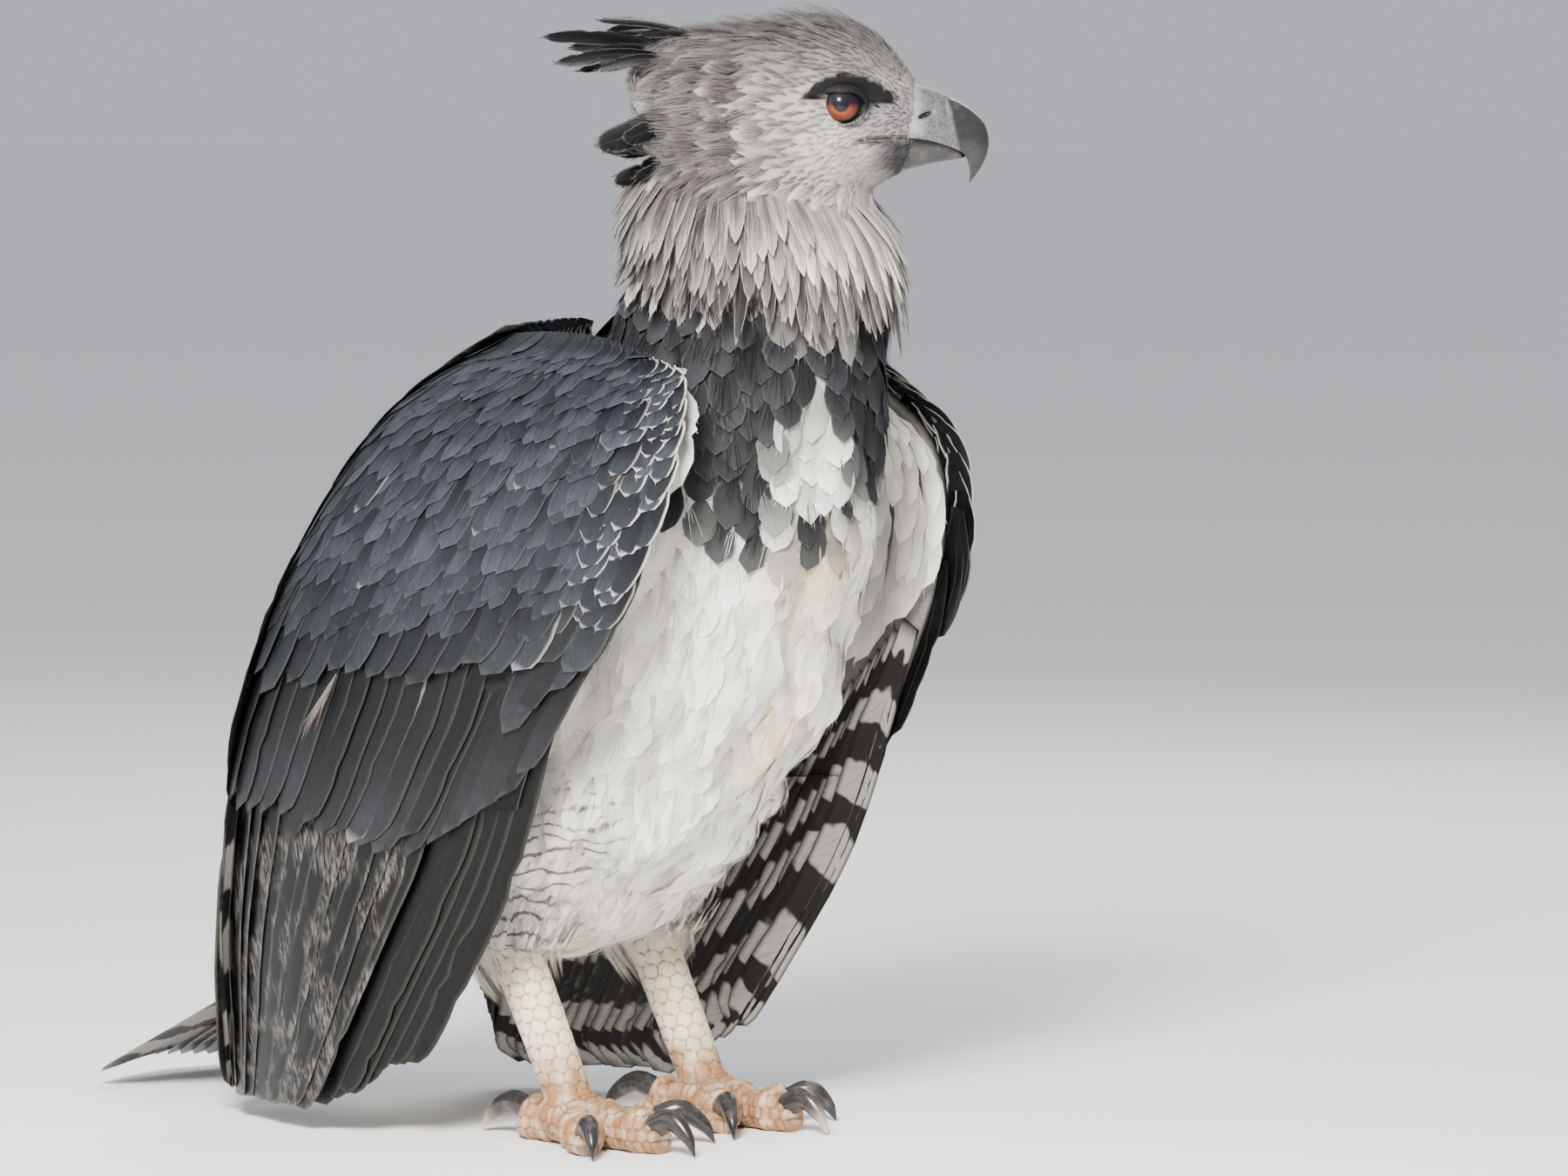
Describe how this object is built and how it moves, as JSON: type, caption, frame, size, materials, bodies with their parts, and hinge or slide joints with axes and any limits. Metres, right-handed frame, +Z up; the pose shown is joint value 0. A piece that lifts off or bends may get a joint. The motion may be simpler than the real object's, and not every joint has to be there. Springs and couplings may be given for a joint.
{
  "type": "harpy eagle",
  "caption": "Life-size standing harpy eagle with crest, ruff, drooped wings, hooked bill and clawed feet, still.",
  "frame": {"origin": "on the floor below the middle of the bounding box", "axes": "+Z up; the body faces -Y; +X is the bird's left; the head is turned to the bird's left"},
  "size_m": [0.386, 0.6646, 0.7315],
  "materials": {
    "plumage_slate": "matte feathers",
    "plumage_grey": "matte feathers",
    "plumage_white": "matte down",
    "scaled_skin": "scaly skin",
    "horn": "polished horn",
    "eye": "wet gloss"
  },
  "bodies": {
    "root": {"bill_lower": "horn", "bill_upper": "horn", "breast": "plumage_slate", "claw_L1": "horn", "claw_L2": "horn", "claw_L3": "horn", "claw_L4": "horn", "claw_R1": "horn", "claw_R2": "horn", "claw_R3": "horn", "claw_R4": "horn", "eye_L": "eye", "eye_R": "eye", "foot_L": "scaled_skin", "foot_R": "scaled_skin", "head": "plumage_grey", "mantle": "plumage_slate", "neck": "plumage_grey", "scapular_L": "plumage_slate", "scapular_R": "plumage_slate", "shank_L": "scaled_skin", "shank_R": "scaled_skin", "tail": "plumage_slate", "thigh_L": "plumage_white", "thigh_R": "plumage_white", "torso": "plumage_white", "wing_L": "plumage_slate", "wing_R": "plumage_slate"}
  },
  "joints": []
}
